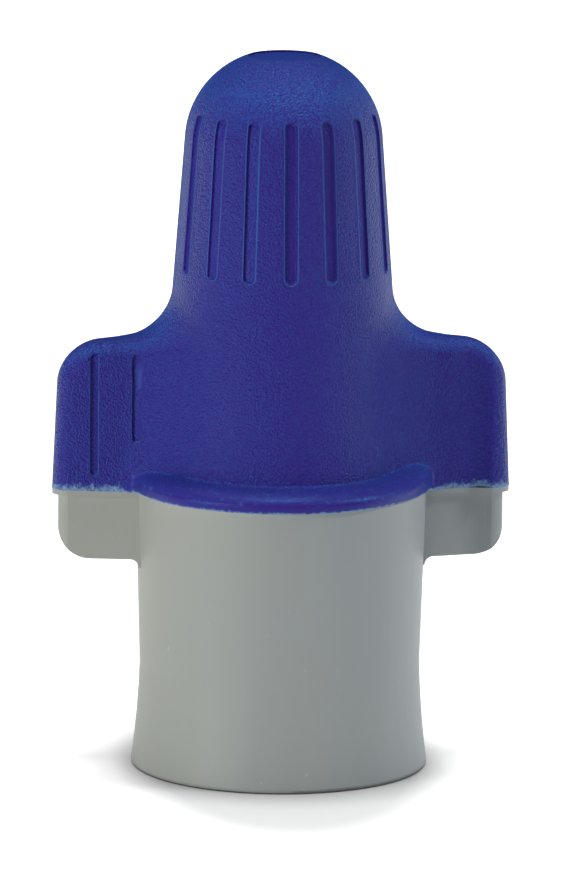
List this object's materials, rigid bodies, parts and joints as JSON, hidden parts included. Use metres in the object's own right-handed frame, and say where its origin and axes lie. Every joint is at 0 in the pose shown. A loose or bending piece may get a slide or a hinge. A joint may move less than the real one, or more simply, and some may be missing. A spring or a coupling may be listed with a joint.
{
  "type": "twist wire connector",
  "caption": "Twist-on wire connector: winged rigid shell with a flared skirt, soft grooved grip cover and a conical square-wire spring that threads onto bared conductors.",
  "frame": {"origin": "centre of the skirt's mouth, on the plane that the mouth stands on", "axes": "+Z from the mouth to the dome; X through the two wings; the push face of the -X wing and the scooped face of the +X wing look towards -Y"},
  "size_m": [0.0266, 0.0176, 0.0417],
  "materials": {
    "shell_plastic": "satin moulded polypropylene, light grey",
    "soft_cover": "soft blue elastomer with a fine moulded grain",
    "spring_steel": "zinc plated square spring wire"
  },
  "bodies": {
    "root": {"shell": "shell_plastic", "grip_cover": "soft_cover", "spring": "spring_steel"}
  },
  "joints": []
}
